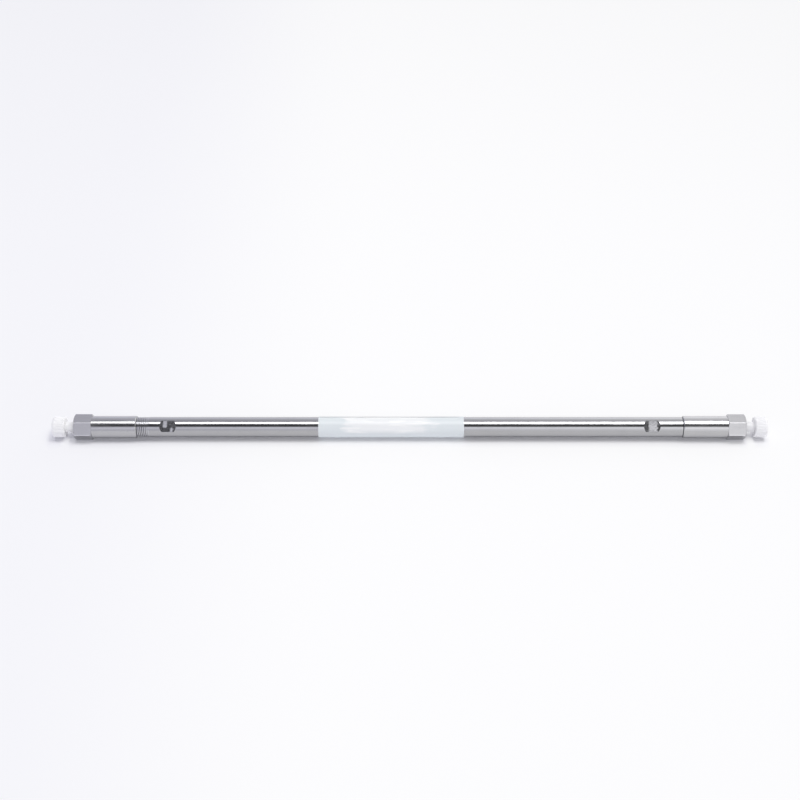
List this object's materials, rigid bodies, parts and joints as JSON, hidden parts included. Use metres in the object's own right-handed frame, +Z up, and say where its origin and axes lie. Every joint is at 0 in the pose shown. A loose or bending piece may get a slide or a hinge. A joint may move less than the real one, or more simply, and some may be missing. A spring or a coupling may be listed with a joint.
{
  "type": "hplc column",
  "caption": "Packed stainless-steel chromatography column with hexagonal end nuts, coned ports, milled wrench flats, a blank wrapped label and screw-in storage plugs.",
  "frame": {"origin": "on the surface that the column lies on, midway between its two ends, below the tube's axis", "axes": "+X along the column from the inlet end (at -X) to the outlet end, +Z up from the resting flats of the hexagons; +Y level, square to the tube. The tube's axis is at z = 4.75 mm"},
  "size_m": [0.2956, 0.011, 0.0095],
  "materials": {
    "polished_steel": "finely turned and polished stainless steel",
    "nut_steel": "turned stainless steel with milled flats",
    "sintered_steel": "matt sintered stainless steel",
    "seal_polymer": "natural beige sealing polymer",
    "white_polymer": "moulded white polymer, satin",
    "label_film": "smooth semi-gloss white label film, no print",
    "silica": "packed fine silica"
  },
  "bodies": {
    "column": {"column_tube": "polished_steel", "packed_bed": "silica", "inlet_frit": "sintered_steel", "outlet_frit": "sintered_steel", "inlet_seal_ring": "seal_polymer", "outlet_seal_ring": "seal_polymer", "inlet_end_nut": "nut_steel", "outlet_end_nut": "nut_steel", "label": "label_film"},
    "inlet_plug": {"inlet_plug": "white_polymer"},
    "outlet_plug": {"outlet_plug": "white_polymer"}
  },
  "joints": [
    {"name": "inlet_plug_out", "type": "slide", "parent": "column", "child": "inlet_plug", "axis": [-1, 0, 0], "range_m": [0, 0.016]},
    {"name": "outlet_plug_out", "type": "slide", "parent": "column", "child": "outlet_plug", "axis": [1, 0, 0], "range_m": [0, 0.016]}
  ]
}
